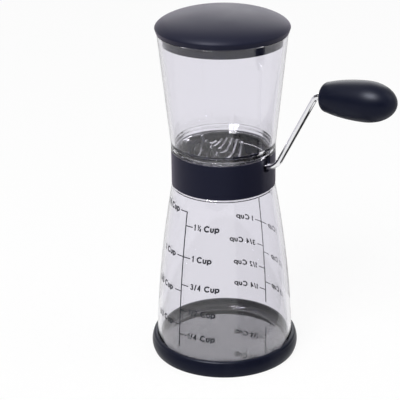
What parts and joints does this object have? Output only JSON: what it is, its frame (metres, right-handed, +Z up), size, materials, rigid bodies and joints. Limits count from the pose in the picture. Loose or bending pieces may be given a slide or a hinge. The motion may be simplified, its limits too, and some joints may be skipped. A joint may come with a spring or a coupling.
{
  "type": "nut grinder",
  "caption": "Hand-cranked nut grinder: clear tapered hopper with a domed lid, black grinding collar with a bent-rod crank and egg knob, and a flared clear measuring jar on a rubber foot.",
  "frame": {"origin": "centre of the foot's underside, on the surface that the grinder stands on", "axes": "+Z up through the jar, collar, hopper and lid; +X outwards along the crank's shaft"},
  "size_m": [0.1493, 0.085, 0.2023],
  "materials": {
    "clear_plastic": "clear, polished",
    "black_plastic": "satin, fine moulded grain",
    "black_rubber": "soft satin",
    "polished_rod": "polished",
    "stamped_steel": "stamped and tumbled",
    "nylon": "plain, black"
  },
  "bodies": {
    "container": {"foot": "black_rubber", "jar": "clear_plastic"},
    "housing": {"collar": "black_plastic", "coarse_comb": "stamped_steel", "fine_comb": "stamped_steel", "comb_screws": "stamped_steel", "crank_bush": "black_plastic", "end_bush": "black_plastic"},
    "hopper": {"hopper": "clear_plastic"},
    "lid": {"lid": "black_plastic"},
    "crank": {"crank_rod": "polished_rod", "thrust_washers": "stamped_steel", "shaft_clips": "stamped_steel", "knob_clip": "stamped_steel", "tine_wheel_1": "stamped_steel", "tine_wheel_2": "stamped_steel", "tine_wheel_3": "stamped_steel", "tine_wheel_4": "stamped_steel", "tine_wheel_5": "stamped_steel", "tine_wheel_6": "stamped_steel", "rotor_spacer_1": "nylon", "rotor_spacer_2": "nylon", "rotor_spacer_3": "nylon", "rotor_spacer_4": "nylon", "rotor_spacer_5": "nylon", "rotor_spacer_6": "nylon", "rotor_spacer_7": "nylon"},
    "knob": {"knob_core": "black_plastic", "knob_grip": "black_rubber"}
  },
  "joints": [
    {"name": "bayonet_twist", "type": "hinge", "parent": "container", "child": "housing", "pos_m": [0, 0, 0.1032], "axis": [0, 0, 1], "range_deg": [0, 40]},
    {"name": "hopper_lift", "type": "slide", "parent": "housing", "child": "hopper", "axis": [0, 0, 1], "range_m": [0, 0.05]},
    {"name": "lid_lift", "type": "slide", "parent": "hopper", "child": "lid", "axis": [0, 0, 1], "range_m": [0, 0.06]},
    {"name": "crank_turn", "type": "hinge", "parent": "housing", "child": "crank", "pos_m": [0, 0, 0.118], "axis": [1, 0, 0], "continuous": true},
    {"name": "knob_spin", "type": "hinge", "parent": "crank", "child": "knob", "pos_m": [0.06274, 0, 0.16525], "axis": [0.9963, 0, 0.0854], "continuous": true}
  ]
}
